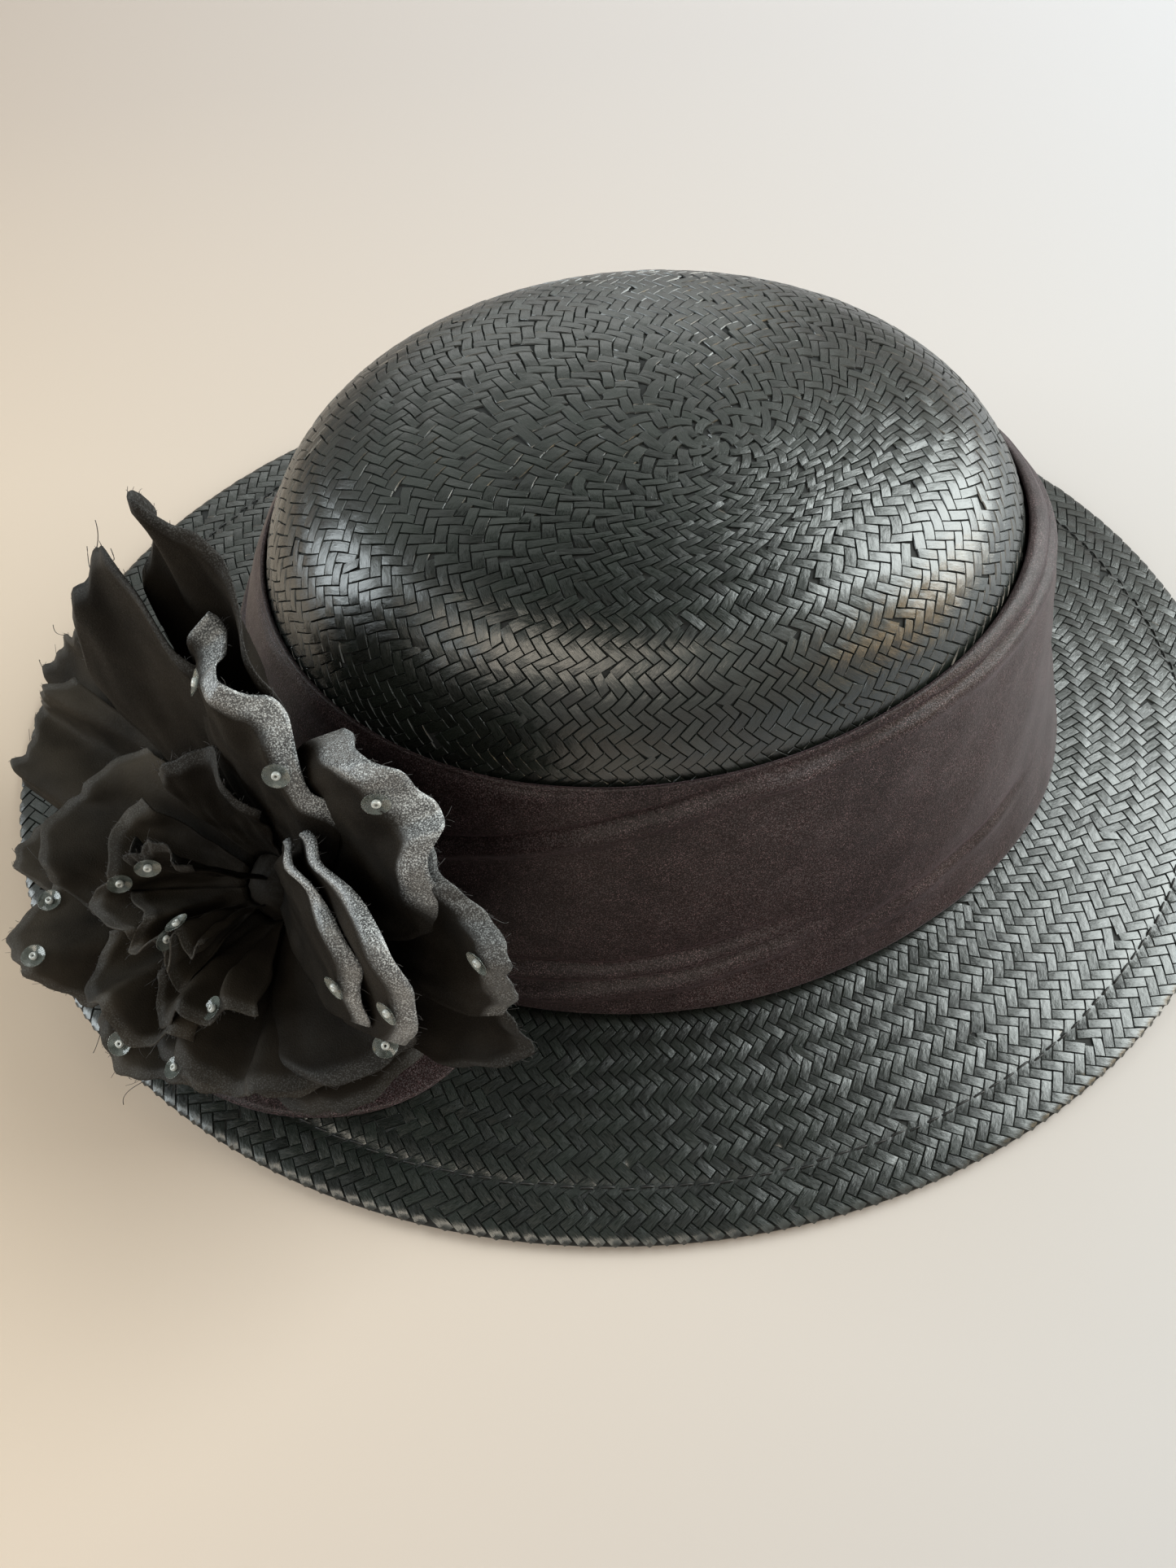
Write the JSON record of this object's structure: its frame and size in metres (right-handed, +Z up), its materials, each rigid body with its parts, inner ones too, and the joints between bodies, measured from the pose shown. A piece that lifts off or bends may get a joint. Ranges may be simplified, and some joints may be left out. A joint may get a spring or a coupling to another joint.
{
  "type": "wide brim straw hat",
  "caption": "Wide brim woven straw hat with a domed oval crown, a draped fabric band and a large fabric flower with sequins.",
  "frame": {"origin": "under the middle of the brim, on the plane that the brim's edge rests on", "axes": "+X along the head's long axis, +Z up through the crown, the flower towards -X and -Y"},
  "size_m": [0.328, 0.286, 0.1395],
  "materials": {
    "straw": "satin",
    "band_fabric": "satin",
    "petal_fabric": "satin",
    "sequin": "gloss"
  },
  "bodies": {
    "root": {"crown": "straw", "brim": "straw", "band": "band_fabric", "flower_backing": "band_fabric", "flower_base": "band_fabric", "petal_01": "petal_fabric", "petal_02": "petal_fabric", "petal_03": "petal_fabric", "petal_04": "petal_fabric", "petal_05": "petal_fabric", "petal_06": "petal_fabric", "petal_07": "petal_fabric", "petal_08": "petal_fabric", "petal_09": "petal_fabric", "petal_10": "petal_fabric", "petal_11": "petal_fabric", "petal_12": "petal_fabric", "petal_13": "petal_fabric", "petal_14": "petal_fabric", "petal_15": "petal_fabric", "petal_16": "petal_fabric", "petal_17": "petal_fabric", "petal_18": "petal_fabric", "petal_19": "petal_fabric", "petal_20": "petal_fabric", "petal_21": "petal_fabric", "petal_22": "petal_fabric", "petal_23": "petal_fabric", "petal_24": "petal_fabric", "petal_25": "petal_fabric", "sequin_01": "sequin", "sequin_02": "sequin", "sequin_03": "sequin", "sequin_04": "sequin", "sequin_05": "sequin", "sequin_06": "sequin", "sequin_07": "sequin", "sequin_08": "sequin", "sequin_09": "sequin", "sequin_10": "sequin", "sequin_11": "sequin", "sequin_12": "sequin", "sequin_13": "sequin", "sequin_14": "sequin", "sequin_15": "sequin", "sequin_16": "sequin"}
  },
  "joints": []
}
